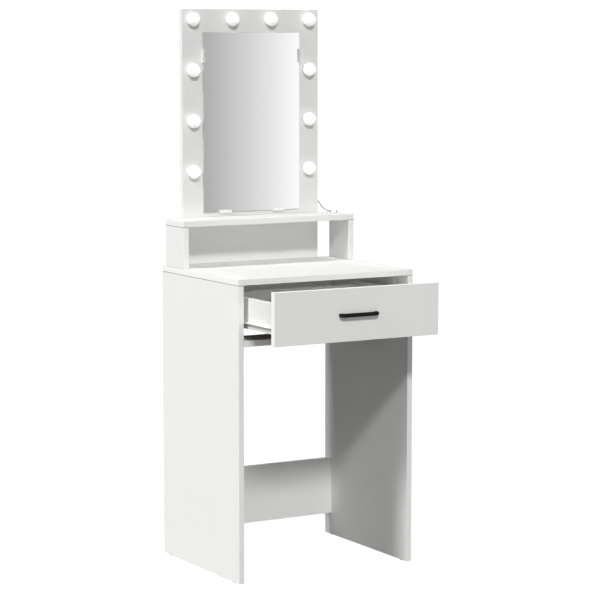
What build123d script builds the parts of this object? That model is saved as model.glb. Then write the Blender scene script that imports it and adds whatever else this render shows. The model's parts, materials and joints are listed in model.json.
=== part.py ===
from build123d import *
import math
import os

# Vanity table with mirror. Millimetres, +Z up, +X to the right, the front faces -Y.
# Everything is laid out with X = 0 on the middle plane, Y = 0 on the front plane of the
# side panels and Z = 0 on the floor. Parts are moved to the row origin when they are saved.

# ---------------------------------------------------------------- driving dimensions
WIDTH = 500.0            # over the side panels
DEPTH = 405.0            # side panels and tabletop, front to back
TABLE_H = 750.0          # floor to the working surface
TOTAL_H = 1400.0         # floor to the top of the mirror board
T = 15.0                 # board thickness
EDGE_R = 0.7             # rounding of the edge banding
GLIDE_H = 2.0            # floor glide under the side panels

RAIL_Y0, RAIL_Y1 = 369.0, 384.0          # both rear rails, front and back face
LOWER_RAIL_Z0, LOWER_RAIL_Z1 = 61.0, 211.0
UPPER_RAIL_Z0 = 585.0
STRETCHER_Y0, STRETCHER_Y1 = 0.5, 92.5
STRETCHER_Z0, STRETCHER_Z1 = 585.0, 600.0

HUTCH_Y0, HUTCH_Y1 = 285.0, 385.0
SHELF_Z0, SHELF_Z1 = 855.0, 870.0

BOARD_HALF = 200.0                       # mirror board, half width
BOARD_Y0, BOARD_Y1 = 385.0, 400.0
GLASS_HALF = 142.0
GLASS_Z0, GLASS_Z1 = 881.0, 1341.0
GLASS_T = 4.0
CLIP_LEN = 34.5
CLIP_LIP_T = 1.8
CLIP_SLACK = 1.0                         # between the lip and the glass

LAMP_R = 17.3                            # opal dome
LAMP_WALL = 1.5
LAMP_CENTRE = 5.5                        # sphere centre in front of the board
LAMP_X = 170.0
LAMP_TOP_Z = 1374.0
LAMP_PITCH_Z = 129.0
SPIGOT_R = 6.0
WIRE_R = 1.0
WIRE_Y = 403.4

DRAWER_OUT = 144.0                       # how far the drawer stands open at rest
DRAWER_TRAVEL = 260.0                    # closed to fully open
FRONT_HALF, FRONT_Z0, FRONT_Z1 = 232.0, 602.0, 731.0
BOX_HALF = 222.5                         # drawer box, outer half width
SIDE_T = 12.0
BOX_Y0, BOX_Y1 = 15.0, 365.0             # drawer closed
BOX_Z0, BOX_Z1 = 630.0, 703.0
BACK_Z1 = 694.5
BOTTOM_Z0, BOTTOM_T = 638.0, 3.0
GROOVE = 6.0
FIT = 0.2

HANDLE_HALF = 53.6
HANDLE_HOLES = 96.0                      # hole spacing
HANDLE_OUT = 13.0
HANDLE_BAR = 6.0                         # thickness of the bar, front to back
HANDLE_H = 9.2
HANDLE_Z = 666.5

ROLLER_R = 8.0
ROLLER_Z = 635.1
AXLE_R = 2.5
ROLLER_BORE = 2.55
CAB_ROLLER_Y = 30.0
DRW_ROLLER_Y = 355.0                     # drawer closed

LEAD_R = 1.3
LEAD_POINTS = [                          # route of the free lead, clip to connector
    (183.0, 402.6, 931.5),
    (195.6, 402.6, 915.5),
    (209.6, 400.9, 898.6),
    (216.6, 392.0, 884.2),
    (219.8, 377.4, 874.35),
    (221.9, 360.0, 874.35),
]
CONNECTOR_R = 4.3

X_IN = WIDTH / 2 - T
TOP_Z0 = TABLE_H - T
Y_ORIGIN = (DEPTH - DRAWER_OUT - HANDLE_OUT) / 2    # middle of the object's depth at rest

os.makedirs("parts", exist_ok=True)


# ---------------------------------------------------------------- helpers
def bx(x0, x1, y0, y1, z0, z1):
    return Pos((x0 + x1) / 2, (y0 + y1) / 2, (z0 + z1) / 2) * Box(abs(x1 - x0), abs(y1 - y0), abs(z1 - z0))


def panel(x0, x1, y0, y1, z0, z1, r=EDGE_R):
    b = bx(x0, x1, y0, y1, z0, z1)
    return fillet(b.edges(), r)


def at(p, d):
    return Plane(origin=tuple(p), z_dir=tuple(d))


LOW = (Align.CENTER, Align.CENTER, Align.MIN)


def rod(p, d, r, length):
    return at(p, d) * Cylinder(r, length, align=LOW)


def cone(p, d, r0, r1, length):
    return at(p, d) * Cone(r0, r1, length, align=LOW)


def V(*a):
    return Vector(*a)


def fuse(*shapes):
    out = shapes[0]
    for s in shapes[1:]:
        out = out + s
    return out


def minus(shape, cutters):
    out = shape
    for c in cutters:
        out = out - c
    return out


CUTS = {}
GROUPS = {}


def cut(node, shape):
    CUTS.setdefault(node, []).append(shape)


def add(group, shape):
    GROUPS.setdefault(group, []).append(shape)


def cross_recess(p, d, size, depth, width):
    """Cross-shaped driver recess, sunk along d from p."""
    pl = at(p, d)
    a = pl * Box(size, width, depth, align=LOW)
    b = pl * Box(width, size, depth, align=LOW)
    return a + b


def cam_joint(host, mate, c, face, u, t, cams, bolts, edge=24.0, deep=10.0, caps=None):
    """Cam housing in the host board, with its bolt screwed into the mating board and a cover cap where it shows."""
    c, face, u = V(*c), V(*face), V(*u)
    beyond = 5.0 if t >= 15 else 4.0
    mouth = c + face * (t / 2)
    cut(host, rod(mouth + face, -face, 7.6, t / 2 + beyond + 1))
    cut(host, rod(c + u * 5, u, 3.6, edge - 4))
    cut(mate, rod(c + u * (edge - 1), u, 2.6, deep + 1.5))
    body = rod(mouth - face * 0.3, -face, 7.45, t / 2 + beyond - 0.5)
    body = body - rod(c - u * 4.2, u, 3.6, 13)
    body = body - cross_recess(mouth - face * 0.3, -face, 8.0, 1.6, 1.6)
    add(cams, body)
    bolt = fuse(
        rod(c - u * 3.4, u, 3.2, 5.0),
        rod(c + u * 1.5, u, 1.9, 6.0),
        rod(c + u * 7.4, u, 3.3, edge - 7.5),
        rod(c + u * (edge - 0.3), u, 2.5, deep),
    )
    add(bolts, bolt)
    if caps:
        disc = rod(mouth + face * 0.05, face, 8.6, 1.1)
        disc = fillet(disc.edges().filter_by(GeomType.CIRCLE).sort_by(lambda e: (e.center() - mouth).dot(face))[-1:], 0.5)
        add(caps, disc + cross_recess(mouth + face * 0.2, -face, 6.4, 1.8, 1.2))


def dowel(a, b, p, u, la, lb, group="wood_dowels"):
    """Fluteless beech dowel across the interface point p, la into board a and lb into board b."""
    p, u = V(*p), V(*u)
    d = rod(p - u * la, u, 3.9, la + lb)
    d = chamfer(d.edges().filter_by(GeomType.CIRCLE), 0.8)
    add(group, d)
    cut(a, rod(p - u * (la + 0.5), u, 4.0, la + 1.5))
    cut(b, rod(p - u * 1.0, u, 4.0, lb + 1.5))


def flat_screw(p, d, length, r, head):
    """Countersunk screw, head flush at p and the shank along d."""
    p, d = V(*p), V(*d)
    s = fuse(cone(p, d, head, r, head - r), rod(p + d * (head - r - 0.01), d, r, length - (head - r)))
    s = s + cone(p + d * (length - 0.01), d, r, 0.3, 2.0)
    return s - cross_recess(p, d, head * 1.05, 1.1, 0.9)


def flat_hole(p, d, length, r, head, gap=0.12):
    p, d = V(*p), V(*d)
    return fuse(
        cone(p - d * 1.0, d, head + gap + 1.0, r + gap, head - r + 1.0),
        rod(p, d, r + gap, length + 2.5),
    )


def pan_screw(p, d, length, r, head, head_h):
    """Pan-head screw: the head sits on the surface at p, against the direction d of the shank."""
    p, d = V(*p), V(*d)
    h = rod(p, -d, head, head_h)
    h = fillet(h.edges().filter_by(GeomType.CIRCLE).sort_by(lambda e: (e.center() - p).dot(-d))[-1:], head_h * 0.45)
    s = fuse(h, rod(p - d * 0.01, d, r, length), cone(p + d * (length - 0.02), d, r, 0.3, 1.5))
    return s - cross_recess(p - d * head_h, d, head * 1.1, head_h * 0.6, head * 0.26)


def pan_hole(p, d, length, r, gap=0.12):
    return rod(V(*p) - V(*d) * 0.5, d, r + gap, length + 2.5)


def tube(points, r, label):
    """Round cable along straight runs joined by tangent arcs as large as the runs allow."""
    pts = [Vector(*p) for p in points]
    runs = [(b - a).length for a, b in zip(pts, pts[1:])]
    radii = []
    for i in range(1, len(pts) - 1):
        turn = (pts[i] - pts[i - 1]).get_angle(pts[i + 1] - pts[i])
        radii.append(0.45 * min(runs[i - 1], runs[i]) / math.tan(math.radians(turn) / 2))
    path = FilletPolyline(*[tuple(p) for p in pts], radius=radii)
    section = Plane(origin=path @ 0, z_dir=path % 0) * Circle(r)
    body = sweep(section, path=path)
    length = path.length
    print(label, "length", round(length, 2), "radii", [round(x, 1) for x in radii],
          "volume ratio", round(body.volume / (math.pi * r * r * length), 4))
    return body


def save(name, shape, out=0.0):
    """Writes one node. out moves a drawer piece forward from its closed place."""
    move = Pos(0, -Y_ORIGIN - out, 0)
    solids = shape if isinstance(shape, list) else [shape]
    done = []
    for s in solids:
        s = minus(s, CUTS.get(name, []))
        done += list((move * s).solids())
    body = done[0] if len(done) == 1 else Compound(children=done)
    export_step(body, f"parts/{name}.step")


# ---------------------------------------------------------------- carcass boards
boards = {}
for side, s in (("left", -1), ("right", 1)):
    boards[f"side_panel_{side}"] = panel(s * X_IN, s * WIDTH / 2, 0, DEPTH, GLIDE_H, TOP_Z0)
    boards[f"hutch_side_{side}"] = panel(s * X_IN, s * WIDTH / 2, HUTCH_Y0, HUTCH_Y1, TABLE_H, SHELF_Z0)
boards["tabletop"] = panel(-WIDTH / 2, WIDTH / 2, 0, DEPTH, TOP_Z0, TABLE_H)
boards["rear_rail_lower"] = panel(-X_IN, X_IN, RAIL_Y0, RAIL_Y1, LOWER_RAIL_Z0, LOWER_RAIL_Z1)
boards["rear_rail_upper"] = panel(-X_IN, X_IN, RAIL_Y0, RAIL_Y1, UPPER_RAIL_Z0, TOP_Z0)
boards["front_stretcher"] = panel(-X_IN, X_IN, STRETCHER_Y0, STRETCHER_Y1, STRETCHER_Z0, STRETCHER_Z1)
boards["hutch_shelf"] = panel(-WIDTH / 2, WIDTH / 2, HUTCH_Y0, HUTCH_Y1, SHELF_Z0, SHELF_Z1)
boards["mirror_board"] = panel(-BOARD_HALF, BOARD_HALF, BOARD_Y0, BOARD_Y1, TABLE_H, TOTAL_H)

# ---------------------------------------------------------------- knock-down fittings
MID = WIDTH / 2 - T / 2
rail_y = (RAIL_Y0 + RAIL_Y1) / 2
for side, s in (("left", -1), ("right", 1)):
    sp, hs = f"side_panel_{side}", f"hutch_side_{side}"
    for y in (60.0, 270.0):
        cam_joint(sp, "tabletop", (s * MID, y, TOP_Z0 - 24), (-s, 0, 0), (0, 0, 1), T, "cam_locks", "cam_bolts", caps="cam_caps")
    for y in (25.0, 388.0):
        dowel(sp, "tabletop", (s * MID, y, TOP_Z0), (0, 0, 1), 20, 10)
    for rail, z0, z1 in (("rear_rail_lower", LOWER_RAIL_Z0, LOWER_RAIL_Z1), ("rear_rail_upper", UPPER_RAIL_Z0, TOP_Z0)):
        zm = (z0 + z1) / 2
        cam_joint(rail, sp, (s * (X_IN - 24), rail_y, zm), (0, 1, 0), (s, 0, 0), T, "cam_locks", "cam_bolts")
        for dz in (-50.0, 50.0):
            dowel(rail, sp, (s * X_IN, rail_y, zm + dz), (s, 0, 0), 20, 10)
    zs = (STRETCHER_Z0 + STRETCHER_Z1) / 2
    cam_joint("front_stretcher", sp, (s * (X_IN - 24), 48.0, zs), (0, 0, -1), (s, 0, 0), T, "cam_locks", "cam_bolts")
    for y in (20.0, 76.0):
        dowel("front_stretcher", sp, (s * X_IN, y, zs), (s, 0, 0), 20, 10)
    for y in (310.0, 365.0):
        dowel("tabletop", hs, (s * MID, y, TABLE_H), (0, 0, 1), 10, 20)
        dowel(hs, "hutch_shelf", (s * MID, y, SHELF_Z0), (0, 0, 1), 20, 10)
    p, d = (s * MID, 338.0, TOP_Z0), (0, 0, 1)
    add("hutch_screws", flat_screw(p, d, 43.0, 2.0, 4.2))
    cut("tabletop", flat_hole(p, d, 43.0, 2.0, 4.2))
    cut(hs, flat_hole(p, d, 43.0, 2.0, 4.2))
    dowel("tabletop", "mirror_board", (s * 150.0, (BOARD_Y0 + BOARD_Y1) / 2, TABLE_H), (0, 0, 1), 10, 20)
    for x in (60.0, 180.0):
        p, d = (s * x, BOARD_Y1, (SHELF_Z0 + SHELF_Z1) / 2), (0, -1, 0)
        add("mirror_board_screws", pan_screw(p, d, 38.0, 2.0, 4.0, 2.4))
        cut("mirror_board", pan_hole(p, d, 38.0, 2.0))
        cut("hutch_shelf", pan_hole(p, d, 38.0, 2.0))
    for y in (30.0, 375.0):
        g = rod((s * MID, y, 0), (0, 0, 1), 7.0, GLIDE_H)
        g = chamfer(g.edges().filter_by(GeomType.CIRCLE).sort_by(Axis.Z)[:1], 0.6)
        g = g + rod((s * MID, y, GLIDE_H - 0.01), (0, 0, 1), 1.0, 11.0)
        add("floor_glides", g)
        cut(sp, rod((s * MID, y, 0), (0, 0, 1), 1.1, GLIDE_H + 12.0))

# ---------------------------------------------------------------- mirror and its clips
glass_y0 = BOARD_Y0 - GLASS_T
glass = bx(-GLASS_HALF, GLASS_HALF, glass_y0, BOARD_Y0, GLASS_Z0, GLASS_Z1)
glass = chamfer(glass.edges().filter_by(Plane.XZ).group_by(Axis.Y)[0], 0.8)
save("mirror_glass", glass)

lip_y0 = glass_y0 - CLIP_SLACK - CLIP_LIP_T
foot_w, lip_w = 2.0, 5.0


def side_clip(s, zc):
    z0, z1 = zc - CLIP_LEN / 2, zc + CLIP_LEN / 2
    body = fuse(
        bx(s * GLASS_HALF, s * (GLASS_HALF + foot_w), lip_y0, BOARD_Y0, z0, z1),
        bx(s * (GLASS_HALF - lip_w), s * GLASS_HALF, lip_y0, lip_y0 + CLIP_LIP_T, z0, z1),
    )
    body = fillet(body.edges().group_by(Axis.Y)[0], 0.6)
    for dz in (-11.0, 11.0):
        p = (s * (GLASS_HALF + foot_w / 2), BOARD_Y0 - 0.01, zc + dz)
        body = body + rod(p, (0, 1, 0), 0.9, 9.0)
        cut("mirror_board", rod((p[0], BOARD_Y0 - 1, p[2]), (0, 1, 0), 1.0, 10.5))
    return body


def bottom_clip(xc):
    x0, x1 = xc - CLIP_LEN / 2, xc + CLIP_LEN / 2
    body = fuse(
        bx(x0, x1, lip_y0, BOARD_Y0, GLASS_Z0 - foot_w, GLASS_Z0),
        bx(x0, x1, lip_y0, lip_y0 + CLIP_LIP_T, GLASS_Z0, GLASS_Z0 + 6.2),
    )
    body = fillet(body.edges().group_by(Axis.Y)[0], 0.6)
    for dx in (-11.0, 11.0):
        p = (xc + dx, BOARD_Y0 - 0.01, GLASS_Z0 - foot_w / 2)
        body = body + rod(p, (0, 1, 0), 0.9, 9.0)
        cut("mirror_board", rod((p[0], BOARD_Y0 - 1, p[2]), (0, 1, 0), 1.0, 10.5))
    return body


save("mirror_clip_left", side_clip(-1, 1281.0))
save("mirror_clip_right", side_clip(1, 1281.0))
save("mirror_clip_bottom_left", bottom_clip(-79.0))
save("mirror_clip_bottom_right", bottom_clip(79.0))

# ---------------------------------------------------------------- lamps
top_row = [(-LAMP_X + i * 2 * LAMP_X / 3, LAMP_TOP_Z) for i in range(4)]
left_col = [(-LAMP_X, LAMP_TOP_Z - i * LAMP_PITCH_Z) for i in (1, 2, 3)]
right_col = [(LAMP_X, LAMP_TOP_Z - i * LAMP_PITCH_Z) for i in (1, 2, 3)]


def lamp_plane(x, z):
    """Local +Z points out of the front of the board."""
    return Plane(origin=(x, BOARD_Y0, z), x_dir=(1, 0, 0), z_dir=(0, -1, 0))


def dome():
    r = LAMP_R
    outer = Pos(0, 0, 0.2) * Cylinder(r, LAMP_CENTRE - 0.2, align=LOW)
    outer = outer + Pos(0, 0, LAMP_CENTRE) * Sphere(r, arc_size1=0, align=LOW)
    ri = r - LAMP_WALL
    inner = Cylinder(ri, LAMP_CENTRE, align=LOW) + Pos(0, 0, LAMP_CENTRE) * Sphere(ri, arc_size1=0, align=LOW)
    return outer - inner


def base():
    b = Cylinder(LAMP_R - LAMP_WALL - 0.3, 3.0, align=LOW)
    b = b + Pos(0, 0, -19.6) * Cylinder(SPIGOT_R, 19.7, align=LOW)
    return b - Pos(0, 0, -18.0) * Cylinder(3.6, 22.0, align=LOW)


def led_board():
    b = Pos(0, 0, 3.0) * Cylinder(12.0, 1.2, align=LOW)
    for i in range(6):
        a = math.radians(60 * i)
        b = b + Pos(7.5 * math.cos(a), 7.5 * math.sin(a), 4.19) * Box(2.8, 2.8, 0.7, align=LOW)
    return b


def ring_nut():
    n = extrude(RegularPolygon(11.5, 12), 2.2) - Cylinder(SPIGOT_R + 0.1, 10)
    return Pos(0, 0, -T - 2.2) * n


for group, spots in (("lamp_domes_top", top_row), ("lamp_domes_left", left_col), ("lamp_domes_right", right_col)):
    for x, z in spots:
        pl = lamp_plane(x, z)
        add(group, pl * dome())
        add("lamp_bases", pl * base())
        add("led_boards", pl * led_board())
        add("lamp_nuts", pl * ring_nut())
        cut("mirror_board", rod((x, BOARD_Y0 - 1, z), (0, 1, 0), SPIGOT_R + 0.15, T + 2))

# Lamp-to-lamp cable on the back of the board, with a saddle in the middle of each span.
chain = list(reversed(left_col)) + top_row + right_col
bows = [4.5, -3.5, 5.0, 6.0, 4.0, 5.5, -4.0, 5.0, -4.5]
for i, ((xa, za), (xb, zb)) in enumerate(zip(chain, chain[1:])):
    a, b = V(xa, WIRE_Y, za), V(xb, WIRE_Y, zb)
    t = (b - a).normalized()
    n = V(t.Z, 0, -t.X)
    a, b = a + t * (SPIGOT_R + 0.25), b - t * (SPIGOT_R + 0.25)
    span = (b - a).length
    pts = [a + t * (span * f) + n * (bows[i] * g) for f, g in ((0, 0), (0.16, 0.55), (0.36, 0.96), (0.5, 1.04), (0.64, 0.96), (0.84, 0.55), (1, 0))]
    add("wiring_harness", tube([tuple(p) for p in pts], WIRE_R, f"harness span {i + 1}"))
    m = a + t * (span * 0.5) + n * (bows[i] * 1.04 - 0.04)
    pl = Plane(origin=(m.X, BOARD_Y1, m.Z), x_dir=tuple(t), z_dir=(0, 1, 0))
    saddle = pl * Box(7.0, 8.0, WIRE_Y - BOARD_Y1 + WIRE_R + 0.5, align=LOW)
    saddle = fillet(saddle.edges().group_by(Axis.Y)[-1], 0.5)
    saddle = saddle - rod(m - t * 10, t, WIRE_R + 0.25, 20)
    add("harness_clips", saddle)

# Feed from the last lamp to the strain relief that the free lead comes out of.
p0, p1 = V(*LEAD_POINTS[0]), V(*LEAD_POINTS[1])
u = (p1 - p0).normalized()
entry = p0 - u * 16.0
xl, zl = chain[-1]
feed = [
    (xl, WIRE_Y, zl - SPIGOT_R - 0.25),
    (xl - 2.6, WIRE_Y - 0.2, zl - 22.0),
    tuple(entry - u * 13.0 + V(0, 0.2, 0)),
    tuple(entry),
]
add("wiring_harness", tube(feed, WIRE_R, "harness feed"))
pl = Plane(origin=tuple((p0 + entry) * 0.5 + V(0, BOARD_Y1 - p0.Y, 0)), x_dir=tuple(u), z_dir=(0, 1, 0))
clip = pl * Box(16.0, 11.0, 4.6, align=LOW)
clip = fillet(clip.edges().group_by(Axis.Y)[-1], 1.2)
save("lead_clip", clip)

# ---------------------------------------------------------------- free lead and its connector
save("power_lead", tube(LEAD_POINTS, LEAD_R, "power_lead"))
pa, pb = V(*LEAD_POINTS[-2]), V(*LEAD_POINTS[-1])
ax = (pb - pa).normalized()
cp = Plane(origin=tuple(pb), z_dir=tuple(ax), x_dir=(0, 0, 1))
relief = Cone(1.9, 3.1, 9.0, align=LOW)
for k in (2.6, 5.0, 7.4):
    relief = relief - Pos(0, 0, k) * (Cylinder(5, 0.9, align=LOW) - Cylinder(1.75, 0.9, align=LOW))
barrel = Pos(0, 0, 9.0) * Cylinder(CONNECTOR_R, 21.0, align=LOW)
barrel = fillet(barrel.edges().filter_by(GeomType.CIRCLE), 0.9)
barrel = barrel - Pos(0, 0, 20.0) * Cylinder(1.9, 12.0, align=LOW)
save("power_connector", cp * (relief + barrel))
contact = Pos(0, 0, 20.0) * (Cylinder(1.8, 9.0, align=LOW) - Pos(0, 0, 0.6) * Cylinder(1.55, 10, align=LOW))
contact = contact + Pos(0, 0, 20.1) * Cylinder(0.65, 8.4, align=LOW)
save("power_connector_contact", cp * contact)

# ---------------------------------------------------------------- drawer box (closed place)
drw = {}
drw["drawer_front"] = panel(-FRONT_HALF, FRONT_HALF, 0, T, FRONT_Z0, FRONT_Z1)
for side, s in (("left", -1), ("right", 1)):
    drw[f"drawer_side_{side}"] = panel(s * (BOX_HALF - SIDE_T), s * BOX_HALF, BOX_Y0, BOX_Y1, BOX_Z0, BOX_Z1, 0.5)
drw["drawer_back"] = panel(-(BOX_HALF - SIDE_T), BOX_HALF - SIDE_T, BOX_Y1 - 13, BOX_Y1 - 1, BOTTOM_Z0 + BOTTOM_T + 0.4, BACK_Z1, 0.5)
gx = BOX_HALF - SIDE_T + GROOVE
drw["drawer_bottom"] = bx(-(gx - FIT), gx - FIT, BOX_Y0 - GROOVE + FIT, BOX_Y1 - 1, BOTTOM_Z0, BOTTOM_Z0 + BOTTOM_T)
groove = bx(-gx, gx, BOX_Y0 - GROOVE, BOX_Y1 + 5, BOTTOM_Z0 - FIT, BOTTOM_Z0 + BOTTOM_T + FIT)
for n in ("drawer_front", "drawer_side_left", "drawer_side_right"):
    cut(n, groove)
for side, s in (("left", -1), ("right", 1)):
    ds = f"drawer_side_{side}"
    xm = BOX_HALF - SIDE_T / 2
    cam_joint(ds, "drawer_front", (s * xm, BOX_Y0 + 24, 682.0), (-s, 0, 0), (0, -1, 0), SIDE_T, "drawer_cams", "drawer_cam_bolts")
    dowel(ds, "drawer_front", (s * xm, BOX_Y0, 657.0), (0, -1, 0), 20, 10, "drawer_dowels")
    for z in (655.0, 682.0):
        p, d = (s * BOX_HALF, BOX_Y1 - 7, z), (-s, 0, 0)
        add("drawer_screws", flat_screw(p, d, 38.0, 2.0, 4.0))
        cut(ds, flat_hole(p, d, 38.0, 2.0, 4.0))
        cut("drawer_back", flat_hole(p, d, 38.0, 2.0, 4.0))

# Bow handle: one bar with two short legs, bevelled at the ends and cut off at its outer corners, bolted from inside the drawer.
h, o, bar = HANDLE_HALF, HANDLE_OUT, HANDLE_BAR
outline = [(-h, 0), (-h, -o + 3.0), (-h + 3.0, -o), (h - 3.0, -o), (h, -o + 3.0), (h, 0),
           (h - 9.5, 0), (h - 9.5, -o + bar + 1.5), (h - 11.0, -o + bar), (-h + 11.0, -o + bar), (-h + 9.5, -o + bar + 1.5), (-h + 9.5, 0)]
handle = Pos(0, 0, HANDLE_Z - HANDLE_H / 2) * extrude(make_face(Polyline(*outline, close=True)), HANDLE_H)
handle = fillet([e for e in handle.edges() if e.center().Y < -0.3], 0.6)
for sx in (-1, 1):
    for sz in (-1, 1):
        p1, p2, p3 = V(sx * (h - 9.0), -o, sz * HANDLE_H / 2), V(sx * h, -o, sz * (HANDLE_H / 2 - 2.6)), V(sx * h, -3.0, sz * HANDLE_H / 2)
        n = (p2 - p1).cross(p3 - p1).normalized()
        n = n if n.Z * sz > 0 else -n
        handle = handle - at(p1 + V(0, 0, HANDLE_Z), n) * Box(80, 80, 20, align=LOW)
for s in (-1, 1):
    p, d = (s * HANDLE_HOLES / 2, T, HANDLE_Z), (0, -1, 0)
    add("handle_screws", pan_screw(p, d, T + 8.0, 1.95, 4.0, 2.4))
    cut("drawer_front", pan_hole(p, d, T + 8.0, 1.95))
    handle = handle - rod((p[0], 1.0, HANDLE_Z), (0, -1, 0), 2.05, 12.0)

# ---------------------------------------------------------------- roller runners
for side, s in (("left", -1), ("right", 1)):
    # Cabinet member: back plate, lower track, upper lip and a turned-up rear stop.
    cab = fuse(
        bx(s * 233.8, s * 235.0, 17.5, 367.5, 625.5, 646.7),
        bx(s * 224.5, s * 233.9, 17.5, 367.5, 625.5, 626.7),
        bx(s * 227.0, s * 233.9, 17.5, 367.5, 645.5, 646.7),
        bx(s * 226.0, s * 233.9, 366.3, 367.5, 626.6, 645.6),
    )
    cab = cab - rod((s * 236.0, CAB_ROLLER_Y, ROLLER_Z), (-s, 0, 0), AXLE_R + 0.05, 3.0)
    for y in (52.0, 190.0, 330.0):
        p, d = (s * 233.8, y, 636.0), (s, 0, 0)
        add("cabinet_runner_screws", flat_screw(p, d, 10.5, 1.5, 3.2))
        cab = cab - flat_hole(p, d, 10.5, 1.5, 3.2)
        cut(f"side_panel_{side}", flat_hole(p, d, 10.5, 1.5, 3.2))
    save(f"cabinet_runner_{side}", cab)
    # Drawer member: web on the drawer side, a foot under it and a top flange that rides on the cabinet roller.
    run = fuse(
        bx(s * 222.5, s * 223.5, 16.0, 364.0, 629.0, 644.5),
        bx(s * 211.5, s * 222.6, 16.0, 364.0, 629.0, 630.0),
        bx(s * 223.4, s * 232.5, 16.0, 364.0, 643.5, 644.5),
    )
    run = run - rod((s * 221.0, DRW_ROLLER_Y, ROLLER_Z), (s, 0, 0), AXLE_R + 0.05, 4.0)
    for y in (60.0, 200.0, 325.0):
        p, d = (s * 219.3, y, 629.0), (0, 0, 1)
        add("drawer_runner_screws", pan_screw(p, d, 11.5, 1.6, 3.0, 1.6))
        run = run - pan_hole(p, d, 11.5, 1.6)
        cut(f"drawer_side_{side}", pan_hole(p, d, 11.5, 1.6))
    save(f"drawer_runner_{side}", run, DRAWER_OUT)
    # Rivet axles.
    add("cabinet_roller_axles", fuse(
        rod((s * 234.95, CAB_ROLLER_Y, ROLLER_Z), (-s, 0, 0), AXLE_R, 10.3),
        rod((s * 233.8, CAB_ROLLER_Y, ROLLER_Z), (-s, 0, 0), 4.0, 1.2),
        rod((s * 225.2, CAB_ROLLER_Y, ROLLER_Z), (-s, 0, 0), 4.0, 0.8),
    ))
    add("drawer_roller_axles", fuse(
        rod((s * 222.55, DRW_ROLLER_Y, ROLLER_Z), (s, 0, 0), AXLE_R, 10.2),
        rod((s * 223.5, DRW_ROLLER_Y, ROLLER_Z), (s, 0, 0), 4.0, 1.1),
        rod((s * 232.4, DRW_ROLLER_Y, ROLLER_Z), (s, 0, 0), 4.0, 0.8),
    ))

    def roller(x0, x1, y):
        r = rod((s * min(x0, x1), y, ROLLER_Z), (s, 0, 0), ROLLER_R, abs(x1 - x0))
        r = fillet(r.edges().filter_by(GeomType.CIRCLE), 0.8)
        r = r - rod((s * 210.0, y, ROLLER_Z), (s, 0, 0), ROLLER_BORE, 40.0)
        ring = rod((s * (max(x0, x1) - 0.8), y, ROLLER_Z), (s, 0, 0), 6.2, 3.0) - rod((s * 210.0, y, ROLLER_Z), (s, 0, 0), 4.4, 40.0)
        ring2 = rod((s * (min(x0, x1) + 0.8), y, ROLLER_Z), (-s, 0, 0), 6.2, 3.0) - rod((s * 210.0, y, ROLLER_Z), (s, 0, 0), 4.4, 40.0)
        return r - ring - ring2

    save(f"cabinet_roller_{side}", roller(225.4, 232.4, CAB_ROLLER_Y))
    save(f"drawer_roller_{side}", roller(224.75, 232.25, DRW_ROLLER_Y), DRAWER_OUT)

# ---------------------------------------------------------------- write the nodes
for name, shape in boards.items():
    save(name, shape)
for name, shape in drw.items():
    save(name, shape, DRAWER_OUT)
save("drawer_handle", handle, DRAWER_OUT)
DRAWER_GROUPS = {"drawer_cams", "drawer_cam_bolts", "drawer_dowels", "drawer_screws", "handle_screws",
                 "drawer_runner_screws", "drawer_roller_axles"}
for name, shapes in GROUPS.items():
    save(name, shapes, DRAWER_OUT if name in DRAWER_GROUPS else 0.0)
print("origin at Y", Y_ORIGIN, "from the front plane")
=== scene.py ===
import json
import math

import bpy
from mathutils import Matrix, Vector


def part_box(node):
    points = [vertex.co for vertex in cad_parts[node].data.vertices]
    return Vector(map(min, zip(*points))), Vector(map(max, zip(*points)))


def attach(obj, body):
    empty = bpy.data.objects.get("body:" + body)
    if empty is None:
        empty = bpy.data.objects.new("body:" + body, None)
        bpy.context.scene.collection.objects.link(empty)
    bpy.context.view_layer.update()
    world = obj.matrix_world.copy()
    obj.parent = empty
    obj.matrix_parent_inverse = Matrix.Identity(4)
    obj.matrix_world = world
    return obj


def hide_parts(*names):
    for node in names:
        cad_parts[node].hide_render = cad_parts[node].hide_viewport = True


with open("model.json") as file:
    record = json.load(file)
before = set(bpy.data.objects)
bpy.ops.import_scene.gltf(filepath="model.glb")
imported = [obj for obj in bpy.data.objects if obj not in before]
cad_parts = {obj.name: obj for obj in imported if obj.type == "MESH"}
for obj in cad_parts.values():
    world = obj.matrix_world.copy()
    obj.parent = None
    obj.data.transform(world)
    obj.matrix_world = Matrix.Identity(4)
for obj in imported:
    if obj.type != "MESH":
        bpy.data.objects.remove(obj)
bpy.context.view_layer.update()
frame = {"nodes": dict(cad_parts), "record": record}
NODES = frame["nodes"]
SLOT = {s["node"]: s["material_slot"] for s in frame["record"]["subparts"]}
scene = bpy.context.scene

# ---------------------------------------------------------------------------
# camera: eye height just under the top of the mirror board, from the front left
# ---------------------------------------------------------------------------
CAM_POS = Vector((-2.84219, -4.87567, 1.33228))
CAM_YAW = math.radians(30.1859)
CAM_PITCH = math.radians(6.6534)
CAM_LENS = 135.908

cam_data = bpy.data.cameras.new("camera")
cam_data.sensor_fit = "HORIZONTAL"
cam_data.sensor_width = 36.0
cam_data.lens = CAM_LENS
cam_data.clip_start, cam_data.clip_end = 0.05, 100.0
cam_data.dof.use_dof = False
cam = bpy.data.objects.new("camera", cam_data)
scene.collection.objects.link(cam)
ahead = Vector((math.sin(CAM_YAW) * math.cos(CAM_PITCH),
                math.cos(CAM_YAW) * math.cos(CAM_PITCH),
                -math.sin(CAM_PITCH)))
cam.location = CAM_POS
cam.rotation_mode = "QUATERNION"
cam.rotation_quaternion = ahead.to_track_quat("-Z", "Y")
scene.camera = cam

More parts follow.
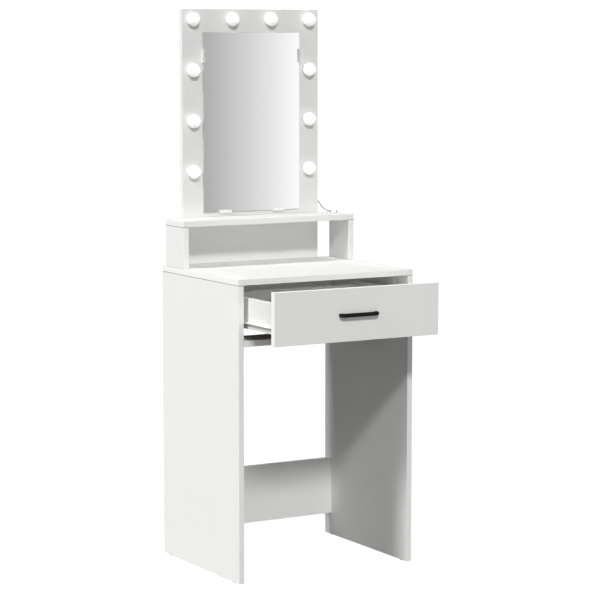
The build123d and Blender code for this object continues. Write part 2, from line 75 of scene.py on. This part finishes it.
# ---------------------------------------------------------------------------
# the free lead: from the clip behind the board, round its edge, down to the shelf
# ---------------------------------------------------------------------------
LEAD_POINTS = [
    (0.1830, 0.2786, 0.93150),
    (0.1956, 0.2786, 0.91550),
    (0.2096, 0.2769, 0.89860),
    (0.2166, 0.2680, 0.88420),
    (0.2198, 0.2534, 0.87435),
    (0.2219, 0.2360, 0.87435),
]
LEAD_RADIUS = 0.0013

lead_curve = bpy.data.curves.new("lead", "CURVE")
lead_curve.dimensions = "3D"
lead_spline = lead_curve.splines.new("NURBS")
lead_spline.points.add(len(LEAD_POINTS) - 1)
for point, place in zip(lead_spline.points, LEAD_POINTS):
    point.co = (*place, 1.0)
    point.radius = 0.001
lead_spline.order_u = 3
lead_spline.use_endpoint_u = True
lead_spline.resolution_u = 16
lead_curve.bevel_depth = LEAD_RADIUS / 0.001
lead_curve.bevel_resolution = 6
lead_curve.use_fill_caps = True
lead = bpy.data.objects.new("lead", lead_curve)
scene.collection.objects.link(lead)
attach(lead, "carcass")
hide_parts("power_lead")


# ---------------------------------------------------------------------------
# materials
# ---------------------------------------------------------------------------
class Mat:
    """A Principled material and short ways to wire texture nodes into it."""

    def __init__(self, name):
        self.material = bpy.data.materials.new(name)
        self.material.use_nodes = True
        self.tree = self.material.node_tree
        self.tree.nodes.clear()
        self.out = self.node("ShaderNodeOutputMaterial")
        self.bsdf = self.node("ShaderNodeBsdfPrincipled")
        self.link(self.bsdf.outputs["BSDF"], self.out.inputs["Surface"])
        self.coord = self.node("ShaderNodeTexCoord")

    def node(self, kind, **settings):
        n = self.tree.nodes.new(kind)
        for key, value in settings.items():
            setattr(n, key, value)
        return n

    def link(self, a, b):
        self.tree.links.new(a, b)

    def feed(self, socket, value):
        if isinstance(value, bpy.types.NodeSocket):
            self.link(value, socket)
        else:
            socket.default_value = value

    def set(self, **sockets):
        for key, value in sockets.items():
            self.feed(self.bsdf.inputs[key.replace("_", " ")], value)
        return self

    def math(self, operation, a, b=0.0, c=0.0, clamp=False):
        n = self.node("ShaderNodeMath", operation=operation, use_clamp=clamp)
        for socket, value in zip(n.inputs, (a, b, c)):
            self.feed(socket, value)
        return n.outputs[0]

    def noise(self, scale, detail=3.0, rough=0.5, vector=None, stretch=None):
        vector = vector or self.coord.outputs["Object"]
        if stretch:
            mapping = self.node("ShaderNodeMapping")
            mapping.inputs["Scale"].default_value = stretch
            self.link(vector, mapping.inputs["Vector"])
            vector = mapping.outputs["Vector"]
        n = self.node("ShaderNodeTexNoise")
        n.inputs["Scale"].default_value = scale
        n.inputs["Detail"].default_value = detail
        n.inputs["Roughness"].default_value = rough
        self.link(vector, n.inputs["Vector"])
        return n.outputs["Fac"]

    def voronoi(self, scale, feature="F1", output="Distance"):
        n = self.node("ShaderNodeTexVoronoi", feature=feature)
        n.inputs["Scale"].default_value = scale
        self.link(self.coord.outputs["Object"], n.inputs["Vector"])
        return n.outputs[output]

    def remap(self, value, a, b, low, high, smooth=False):
        n = self.node("ShaderNodeMapRange")
        n.interpolation_type = "SMOOTHSTEP" if smooth else "LINEAR"
        n.clamp = True
        self.feed(n.inputs["Value"], value)
        for key, v in (("From Min", a), ("From Max", b), ("To Min", low), ("To Max", high)):
            n.inputs[key].default_value = v
        return n.outputs["Result"]

    def mix(self, factor, a, b, blend="MIX"):
        n = self.node("ShaderNodeMix", data_type="RGBA", blend_type=blend)
        self.feed(n.inputs[0], factor)
        for socket, value in ((n.inputs[6], a), (n.inputs[7], b)):
            if isinstance(value, bpy.types.NodeSocket):
                self.link(value, socket)
            else:
                socket.default_value = (*value, 1.0)
        return n.outputs[2]

    def bump(self, height, strength, distance, under=None):
        n = self.node("ShaderNodeBump")
        n.inputs["Strength"].default_value = strength
        n.inputs["Distance"].default_value = distance
        self.link(height, n.inputs["Height"])
        if under is not None:
            self.link(under, n.inputs["Normal"])
        return n.outputs["Normal"]

    def occlusion_shade(self, reach, low, high):
        """Painted shade mask: 1 deep in a joint between two pieces, where ambient occlusion finds the other piece
        close, 0 on open faces.
        """
        n = self.node("ShaderNodeAmbientOcclusion", samples=8)
        n.inputs["Distance"].default_value = reach
        return self.remap(n.outputs["AO"], low, high, 1.0, 0.0)

    def axes(self, which="Object"):
        n = self.node("ShaderNodeSeparateXYZ")
        self.link(self.coord.outputs[which], n.inputs[0])
        return n.outputs


# white of each board's faces and of its edge banding, matched to measured tones: painted light and shade, each board
# made lighter or darker to stand in for the light that falls on it
PAINTED_LIGHT_WHITES = {
    "side_panel_left": (0.848, 0.91),
    "tabletop": (0.832, 0.905),
    "hutch_side_left": (0.845, 0.92),
    "hutch_side_right": (0.77, 0.90),
    "hutch_shelf": (0.785, 0.86),
    "mirror_board": (0.853, 0.84),
    "drawer_front": (0.91, 0.91),
    "drawer_back": (0.92, 0.92),
    "drawer_side_left": (0.80, 0.86),
    "drawer_side_right": (0.92, 0.92),
}


# boards that another board lies on, with a painted shadow line along the top rim where that board sits
SEAM_SHADE_BOARDS = ("side_panel_left", "side_panel_right", "hutch_side_left", "hutch_side_right")


def white(level):
    return (level, level, level * 0.982)


def board(name, lo, hi, shade, banding, seam_shaded):
    """Melamine-faced board: pearl texture on the broad faces, smoother banding on the narrow ones,
    the faint joint line between the two, and painted shade in crevices and under a board on top."""
    m = Mat(name)
    size = [hi[i] - lo[i] for i in range(3)]
    thin = size.index(min(size))
    wide = [i for i in range(3) if i != thin]
    place, normal = m.axes("Object"), m.axes("Normal")
    broad = m.remap(m.math("ABSOLUTE", normal[thin]), 0.80, 0.97, 0.0, 1.0)

    rims = []
    for i in wide:
        rims.append(m.math("SUBTRACT", place[i], lo[i]))
        rims.append(m.math("SUBTRACT", hi[i], place[i]))
    rim = m.math("MINIMUM", m.math("MINIMUM", rims[0], rims[1]), m.math("MINIMUM", rims[2], rims[3]))
    joint = m.math("SUBTRACT", rim, 0.0012)
    joint = m.remap(m.math("ABSOLUTE", joint), 0.0, 0.0005, 1.0, 0.0, smooth=True)
    joint = m.math("MULTIPLY", joint, broad)

    cloud = m.remap(m.noise(4.5, 3.0), 0.32, 0.68, 0.0, 1.0)
    speck = m.remap(m.noise(950.0, 2.0), 0.3, 0.7, 0.0, 1.0)
    face = m.mix(cloud, white(shade - 0.009), white(shade + 0.007))
    face = m.mix(m.math("MULTIPLY", speck, 0.35), face, white(shade - 0.03))
    band = m.mix(m.remap(m.noise(260.0, 2.0), 0.35, 0.65, 0.0, 1.0), white(banding - 0.01), white(banding + 0.008))
    colour = m.mix(broad, band, face)
    colour = m.mix(m.math("MULTIPLY", joint, 0.14), colour, (0.42, 0.42, 0.40))
    # painted shade: the rounded edges are darkened to near black where ambient occlusion finds another piece close by,
    # as shade in the crevices between boards
    steep = [m.math("ABSOLUTE", n) for n in normal]
    flatness = m.math("MAXIMUM", m.math("MAXIMUM", steep[0], steep[1]), steep[2])
    rounded = m.remap(flatness, 0.95, 0.995, 1.0, 0.0)
    painted_crevice_shade = m.math("MULTIPLY", rounded, m.occlusion_shade(0.0025, 0.60, 0.97))
    colour = m.mix(painted_crevice_shade, colour, (0.02, 0.02, 0.02))
    if seam_shaded:
        # painted shade: a dark line along the top rim stands in for the shadow in the seam under the board above
        under = m.remap(m.math("SUBTRACT", hi[2], place[2]), 0.0007, 0.0020, 0.55, 0.0, smooth=True)
        colour = m.mix(under, colour, (0.08, 0.08, 0.078))

    pearl = m.noise(1700.0, 2.0, 0.55)
    wave = m.noise(9.0, 1.0)
    rough = m.remap(m.noise(38.0, 3.0), 0.3, 0.7, 0.54, 0.61)
    rough = m.math("SUBTRACT", rough, m.math("MULTIPLY", m.math("SUBTRACT", 1.0, broad), 0.08))
    bumped = m.bump(wave, 0.10, 0.0006)
    bumped = m.bump(pearl, 0.10, 0.00012, bumped)
    m.set(Base_Color=colour, Roughness=rough, Normal=bumped, IOR=1.5, Specular_IOR_Level=0.17)
    return m.material


def hardboard(name):
    """Thin hardboard: white lacquer on top, bare brown fibre below."""
    m = Mat(name)
    up = m.axes("Normal")[2]
    below = m.remap(up, -0.75, -0.25, 1.0, 0.0)
    fibre = m.mix(m.remap(m.noise(420.0, 5.0, 0.65, stretch=(1.0, 0.35, 1.0)), 0.3, 0.7, 0.0, 1.0),
                  (0.082, 0.062, 0.042), (0.135, 0.106, 0.076))
    lacquer = m.mix(m.remap(m.noise(30.0, 4.0), 0.3, 0.7, 0.0, 1.0), (0.90, 0.90, 0.885), (0.925, 0.925, 0.91))
    m.set(Base_Color=m.mix(below, lacquer, fibre),
          Roughness=m.remap(below, 0.0, 1.0, 0.42, 0.85),
          Normal=m.bump(m.noise(900.0, 3.0, 0.6), 0.18, 0.00015))
    return m.material


def moulded(name, low, high, rough=(0.36, 0.46), grain=1400.0, depth=0.00006, glow=0.0):
    """White moulded plastic with a fine spark-eroded grain and slight flow clouds."""
    m = Mat(name)
    cloud = m.remap(m.noise(140.0, 3.0), 0.3, 0.7, 0.0, 1.0)
    m.set(Base_Color=m.mix(cloud, low, high),
          Roughness=m.remap(m.noise(320.0, 3.0), 0.3, 0.7, *rough),
          Normal=m.bump(m.noise(grain, 2.0), 0.22, depth),
          IOR=1.5)
    if glow:
        m.set(Subsurface_Weight=glow, Subsurface_Radius=(0.004, 0.004, 0.0035), Subsurface_Scale=1.0)
    return m.material


def opal(name):
    """Opal diffuser: bright and even in front, without light in the skirt next to the board."""
    m = Mat(name)
    depth = m.axes("Object")[1]
    front = m.remap(depth, 0.2585, 0.2505, 0.0, 1.0, smooth=True)
    tint = m.mix(m.remap(m.noise(220.0, 3.0), 0.3, 0.7, 0.0, 1.0), (0.905, 0.905, 0.892), (0.93, 0.93, 0.918))
    m.set(Base_Color=tint,
          Roughness=m.remap(m.noise(260.0, 2.0), 0.3, 0.7, 0.26, 0.34),
          Normal=m.bump(m.noise(600.0, 2.0), 0.06, 0.00008),
          Subsurface_Weight=0.35, Subsurface_Radius=(0.008, 0.008, 0.0075), Subsurface_Scale=1.0,
          IOR=1.49, Emission_Color=(1.0, 0.995, 0.975, 1.0),
          Emission_Strength=m.remap(front, 0.0, 1.0, 0.03, 0.33))
    return m.material


def mirror(name, lo, hi):
    """Silvered glass: a clean reflection on the faces, pale grey at the polished edges."""
    m = Mat(name)
    flat = m.remap(m.math("ABSOLUTE", m.axes("Normal")[1]), 0.93, 0.985, 0.0, 1.0)
    haze = m.remap(m.noise(26.0, 4.0, 0.6), 0.42, 0.75, 0.0, 1.0)
    silver = m.mix(haze, (0.915, 0.918, 0.916), (0.905, 0.908, 0.906))
    edge = m.mix(m.remap(m.noise(90.0, 2.0), 0.35, 0.65, 0.0, 1.0), (0.47, 0.49, 0.48), (0.55, 0.57, 0.56))
    m.set(Base_Color=m.mix(flat, edge, silver),
          Metallic=m.remap(flat, 0.0, 1.0, 0.0, 1.0),
          Roughness=m.math("ADD", m.remap(flat, 0.0, 1.0, 0.16, 0.0), m.remap(haze, 0.0, 1.0, 0.006, 0.02)),
          IOR=1.52)
    return m.material


def powder_coat(name):
    """Black powder coat, fine orange peel, a touch greyer where the edges are rubbed."""
    m = Mat(name)
    peel = m.noise(1100.0, 2.0, 0.5)
    worn = m.node("ShaderNodeNewGeometry").outputs["Pointiness"]
    rubbed = m.remap(worn, 0.53, 0.60, 0.0, 1.0)
    rubbed = m.math("MULTIPLY", rubbed, m.remap(m.noise(240.0, 4.0, 0.6), 0.35, 0.7, 0.15, 1.0))
    black = m.mix(m.remap(m.noise(160.0, 3.0), 0.3, 0.7, 0.0, 1.0), (0.0022, 0.0022, 0.0023), (0.0042, 0.0042, 0.0044))
    m.set(Base_Color=m.mix(m.math("MULTIPLY", rubbed, 0.4), black, (0.045, 0.045, 0.046)),
          Roughness=m.remap(m.noise(420.0, 3.0), 0.3, 0.7, 0.50, 0.62),
          Normal=m.bump(peel, 0.35, 0.00008), IOR=1.5, Specular_IOR_Level=0.08)
    return m.material


def epoxy_steel(name):
    """Roller runner: cream white epoxy on thin steel, with a faint sag in the coat."""
    m = Mat(name)
    cloud = m.remap(m.noise(70.0, 3.0), 0.3, 0.7, 0.0, 1.0)
    m.set(Base_Color=m.mix(cloud, (0.760, 0.755, 0.730), (0.805, 0.80, 0.775)),
          Roughness=m.remap(m.noise(180.0, 3.0), 0.3, 0.7, 0.28, 0.38),
          Normal=m.bump(m.noise(520.0, 2.0), 0.2, 0.0001),
          Coat_Weight=0.15, Coat_Roughness=0.2)
    return m.material


def metal(name, low, high, rough, scale=260.0, stretch=None, depth=0.00005):
    """Plated or cast metal with patchy tone and fine tool marks."""
    m = Mat(name)
    patch = m.remap(m.noise(scale * 0.4, 4.0, 0.6), 0.3, 0.7, 0.0, 1.0)
    marks = m.noise(scale * 4.0, 3.0, 0.6, stretch=stretch)
    m.set(Base_Color=m.mix(patch, low, high), Metallic=1.0,
          Roughness=m.remap(marks, 0.3, 0.7, *rough),
          Normal=m.bump(marks, 0.25, depth))
    return m.material


def beech(name):
    """Bare beech: straight grain along the dowel, small dark flecks."""
    m = Mat(name)
    grain = m.remap(m.noise(500.0, 5.0, 0.6, stretch=(0.12, 1.0, 1.0)), 0.3, 0.7, 0.0, 1.0)
    fleck = m.remap(m.noise(1500.0, 2.0, 0.5, stretch=(0.2, 1.0, 1.0)), 0.62, 0.72, 0.0, 1.0)
    wood = m.mix(grain, (0.50, 0.31, 0.165), (0.62, 0.42, 0.245))
    m.set(Base_Color=m.mix(m.math("MULTIPLY", fleck, 0.5), wood, (0.30, 0.165, 0.08)),
          Roughness=m.remap(grain, 0.0, 1.0, 0.72, 0.6),
          Normal=m.bump(grain, 0.3, 0.00015))
    return m.material


def jacket(name):
    """Soft pale grey PVC with faint draw lines and a little grime."""
    m = Mat(name)
    grime = m.remap(m.noise(120.0, 4.0, 0.6), 0.45, 0.75, 0.0, 1.0)
    m.set(Base_Color=m.mix(m.math("MULTIPLY", grime, 0.5), (0.215, 0.215, 0.212), (0.175, 0.175, 0.171)),
          Roughness=m.remap(m.noise(380.0, 3.0), 0.3, 0.7, 0.42, 0.55),
          Normal=m.bump(m.noise(2200.0, 2.0), 0.25, 0.00005),
          Subsurface_Weight=0.1, Subsurface_Radius=(0.0015, 0.0015, 0.0013), Subsurface_Scale=1.0)
    return m.material


def socket(name):
    """White inline socket whose ribbed strain relief is the grey of the cable."""
    m = Mat(name)
    relief = m.remap(m.axes("Object")[1], 0.2268, 0.2274, 0.0, 1.0)
    cloud = m.remap(m.noise(140.0, 3.0), 0.3, 0.7, 0.0, 1.0)
    shell = m.mix(cloud, (0.80, 0.80, 0.785), (0.84, 0.84, 0.825))
    m.set(Base_Color=m.mix(relief, shell, m.mix(cloud, (0.19, 0.19, 0.186), (0.215, 0.215, 0.212))),
          Roughness=m.remap(m.noise(320.0, 3.0), 0.3, 0.7, 0.28, 0.40),
          Normal=m.bump(m.noise(1400.0, 2.0), 0.22, 0.00006), IOR=1.5)
    return m.material


def led_plate(name):
    """White solder mask with pale yellow light-emitting packages and tinned pads."""
    m = Mat(name)
    cells = m.voronoi(210.0)
    package = m.remap(cells, 0.24, 0.30, 1.0, 0.0)
    pads = m.remap(m.voronoi(420.0), 0.16, 0.2, 1.0, 0.0)
    base = m.mix(m.remap(m.noise(300.0, 2.0), 0.3, 0.7, 0.0, 1.0), (0.80, 0.82, 0.78), (0.85, 0.86, 0.83))
    base = m.mix(m.math("MULTIPLY", pads, 0.6), base, (0.62, 0.62, 0.60))
    m.set(Base_Color=m.mix(package, base, (0.86, 0.70, 0.22)),
          Roughness=m.remap(package, 0.0, 1.0, 0.3, 0.45),
          Normal=m.bump(package, 0.4, 0.0003))
    return m.material


SHARED = {
    "white_hardboard": lambda: hardboard("white_hardboard"),
    "glide_plastic": lambda: moulded("glide_plastic", (0.70, 0.70, 0.685), (0.76, 0.76, 0.745)),
    "zinc": lambda: metal("zinc_casting", (0.52, 0.525, 0.535), (0.66, 0.665, 0.67), (0.38, 0.55), 300.0, depth=0.0001),
    "zinc_steel": lambda: metal("zinc_plated_steel", (0.60, 0.605, 0.60), (0.73, 0.725, 0.70), (0.24, 0.38), 420.0),
    "beech": lambda: beech("beech"),
    "clip_plastic": lambda: moulded("clip_plastic", (0.93, 0.93, 0.92), (0.96, 0.96, 0.95), (0.30, 0.40), glow=0.15),
    "opal_plastic": lambda: opal("opal_plastic"),
    "lamp_plastic": lambda: moulded("lamp_plastic", (0.80, 0.80, 0.785), (0.84, 0.84, 0.825), (0.34, 0.44)),
    "led_board": lambda: led_plate("led_plate"),
    "cable_jacket": lambda: jacket("cable_jacket"),
    "connector_plastic": lambda: socket("connector_plastic"),
    "nickel": lambda: metal("nickel_contact", (0.66, 0.645, 0.60), (0.75, 0.735, 0.69), (0.16, 0.28), 500.0),
    "black_metal": lambda: powder_coat("black_powder_coat"),
    "coated_steel": lambda: epoxy_steel("epoxy_steel"),
    "nylon": lambda: moulded("nylon", (0.77, 0.765, 0.735), (0.82, 0.815, 0.785), (0.32, 0.44), glow=0.2),
}
made = {}


def finish_for(node):
    slot = SLOT[node]
    if slot == "white_board":
        return board("board_" + node, *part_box(node), *PAINTED_LIGHT_WHITES.get(node, (0.845, 0.90)), node in SEAM_SHADE_BOARDS)
    if slot == "mirror":
        return mirror("mirror_glass", *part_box(node))
    # painted shade: the side clips get a darker copy of the clip plastic than the bottom clips, standing in for the
    # shade on them
    if node in ("mirror_clip_left", "mirror_clip_right"):
        return moulded("clip_" + node, (0.66, 0.66, 0.65), (0.70, 0.70, 0.69), (0.30, 0.40), glow=0.15)
    if slot not in made:
        made[slot] = SHARED[slot]()
    return made[slot]


for node_name in sorted(NODES):
    mesh = NODES[node_name].data
    finish = finish_for(node_name)
    if not mesh.materials:
        mesh.materials.append(finish)
    for index in range(len(mesh.materials)):
        mesh.materials[index] = finish
lead_curve.materials.append(made["cable_jacket"])
# the mirror throws no second patch of light down on the shelf
NODES["mirror_glass"].visible_diffuse = False

# ---------------------------------------------------------------------------
# studio: white sweep, broad soft sources, keys from the front left and from the left
# ---------------------------------------------------------------------------
scene.view_settings.view_transform = "Standard"
scene.view_settings.look = "None"
scene.view_settings.exposure = 0.0
scene.view_settings.gamma = 1.0

world = bpy.data.worlds.new("sky")
world.use_nodes = True
scene.world = world
sky = world.node_tree.nodes["Background"]
SKY_BELOW, SKY_ABOVE, SKY_FRONT, SKY_LEFT, SKY_BACK = 0.06, 0.06, 0.47, 0.11, 0.07
tree = world.node_tree


def sky_math(operation, a, b=0.0, clamp=False):
    n = tree.nodes.new("ShaderNodeMath")
    n.operation, n.use_clamp = operation, clamp
    for socket, value in zip(n.inputs, (a, b)):
        if isinstance(value, bpy.types.NodeSocket):
            tree.links.new(value, socket)
        else:
            socket.default_value = value
    return n.outputs[0]


toward = tree.nodes.new("ShaderNodeTexCoord").outputs["Generated"]
split = tree.nodes.new("ShaderNodeSeparateXYZ")
tree.links.new(toward, split.inputs[0])


def facing(axis, sign):
    return sky_math("MAXIMUM", sky_math("MULTIPLY", split.outputs[axis], sign), 0.0)


def broad_source(axis, sign, strength):
    ahead = facing(axis, sign)
    return sky_math("MULTIPLY", sky_math("MULTIPLY", ahead, ahead), strength)


level = sky_math("MULTIPLY", facing(2, -1.0), SKY_BELOW)
level = sky_math("ADD", level, sky_math("MULTIPLY", facing(2, 1.0), SKY_ABOVE))
level = sky_math("ADD", level, broad_source(1, -1.0, SKY_FRONT))
level = sky_math("ADD", level, broad_source(0, -1.0, SKY_LEFT))
level = sky_math("ADD", level, broad_source(1, 1.0, SKY_BACK))
sky.inputs["Color"].default_value = (1.0, 1.0, 1.0, 1.0)
tree.links.new(level, sky.inputs["Strength"])


def sun(name, travel, strength, size):
    data = bpy.data.lights.new(name, "SUN")
    data.energy = strength
    data.angle = math.radians(size)
    data.color = (1.0, 1.0, 0.992)
    obj = bpy.data.objects.new(name, data)
    obj.rotation_mode = "QUATERNION"
    obj.rotation_quaternion = Vector(travel).to_track_quat("-Z", "Y")
    scene.collection.objects.link(obj)
    return obj


# a wide, low bank of lamps from the front left, a tall window from the left, fills from behind and from the right
FRONT_BANK = [0.21, 0.28, 0.35, 0.42, 0.49]
FRONT_STRENGTH = 1.68
keys = [sun("key_front_%d" % i, (across, 1.0, -0.855), FRONT_STRENGTH / len(FRONT_BANK), 6.0)
        for i, across in enumerate(FRONT_BANK)]
keys.append(sun("key_left_high", (1.0, 0.02, -0.92), 2.36, 13.0))
keys.append(sun("key_left_low", (1.0, 0.02, -0.50), 0.55, 13.0))
keys.append(sun("fill_back", (0.0, -1.0, -0.25), 1.6, 8.0))
keys.append(sun("fill_right", (-1.0, 0.0, -0.08), 1.8, 8.0))


def sweep(name, radius, rise, steps=96):
    """A round white floor that curves up into a wall, so that every side has the same ground."""
    profile = [(0.0, 0.0)] + [(radius * k / 6.0, 0.0) for k in range(1, 6)]
    bend = 2.5
    for k in range(13):
        a = math.radians(90.0 * k / 12.0)
        profile.append((radius - bend + bend * math.sin(a), bend - bend * math.cos(a)))
    profile.append((radius, rise))
    verts, faces = [(0.0, 0.0, 0.0)], []
    for r, z in profile[1:]:
        for s in range(steps):
            t = 2 * math.pi * s / steps
            verts.append((r * math.cos(t), r * math.sin(t), z))
    for s in range(steps):
        faces.append((0, 1 + s, 1 + (s + 1) % steps))
    for ring in range(len(profile) - 2):
        a, b = 1 + ring * steps, 1 + (ring + 1) * steps
        for s in range(steps):
            n = (s + 1) % steps
            faces.append((a + s, b + s, b + n, a + n))
    mesh = bpy.data.meshes.new(name)
    mesh.from_pydata(verts, [], faces)
    mesh.polygons.foreach_set("use_smooth", [True] * len(mesh.polygons))
    mesh.update()
    obj = bpy.data.objects.new(name, mesh)
    scene.collection.objects.link(obj)
    return obj


ground = sweep("studio_floor", 14.0, 5.0)
m = Mat("studio_floor")
m.set(Base_Color=m.mix(m.remap(m.noise(2.0, 3.0), 0.3, 0.7, 0.0, 1.0), (0.84, 0.84, 0.84), (0.86, 0.86, 0.86)),
      Roughness=0.9, Specular_IOR_Level=0.0,
      Emission_Color=(1.0, 1.0, 1.0, 1.0), Emission_Strength=0.975)
ground.data.materials.append(m.material)
ground.visible_diffuse = False
ground.visible_shadow = False

# the keys light the table alone, so that the ground keeps only a faint contact shade
lit = bpy.data.collections.new("lit_by_keys")
for obj in list(NODES.values()) + [lead]:
    lit.objects.link(obj)
for key in keys:
    key.light_linking.receiver_collection = lit


def card(name, centre, radius, low, high, start, end, steps=120):
    """A curved row of soft strip lights in front of the mirror, for the mirror to look at."""
    verts, faces = [], []
    for s in range(steps + 1):
        t = math.radians(start + (end - start) * s / steps)
        x, y = centre[0] + radius * math.sin(t), centre[1] - radius * math.cos(t)
        verts += [(x, y, low), (x, y, high)]
    for s in range(steps):
        faces.append((2 * s, 2 * s + 2, 2 * s + 3, 2 * s + 1))
    mesh = bpy.data.meshes.new(name)
    mesh.from_pydata(verts, [], faces)
    mesh.update()
    obj = bpy.data.objects.new(name, mesh)
    scene.collection.objects.link(obj)
    return obj


MIRROR_LO, MIRROR_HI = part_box("mirror_glass")
strip = card("strip_lights", (0.0, MIRROR_LO[1]), 3.0, 0.02, 3.2, -80.0, 80.0)
m = Mat("strip_lights")
place = m.axes("Object")
turn = m.math("ARCTAN2", place[0], m.math("SUBTRACT", MIRROR_LO[1], place[1]))
phase = m.math("MULTIPLY", m.math("SUBTRACT", turn, math.radians(25.3)), 1.0 / math.radians(7.2))
wave = m.math("PINGPONG", phase, 1.0)
tone = m.math("POWER", m.math("ADD", m.math("MULTIPLY", wave, 0.31), 0.68), 2.25)
# towards the ground the row fades into the white of the sweep
low = m.remap(place[2], 0.02, 0.58, 1.0, 0.0, smooth=True)
tone = m.math("ADD", m.math("MULTIPLY", m.math("MULTIPLY", tone, 1.09), m.math("SUBTRACT", 1.0, low)), m.math("MULTIPLY", low, 0.975))
m.set(Base_Color=(0.0, 0.0, 0.0, 1.0), Roughness=1.0, Specular_IOR_Level=0.0,
      Emission_Color=(1.0, 1.0, 1.0, 1.0), Emission_Strength=tone)
strip.data.materials.append(m.material)
strip.visible_camera = False
strip.visible_diffuse = False
strip.visible_shadow = False
strip.visible_transmission = False

# ---------------------------------------------------------------------------
bpy.context.view_layer.update()
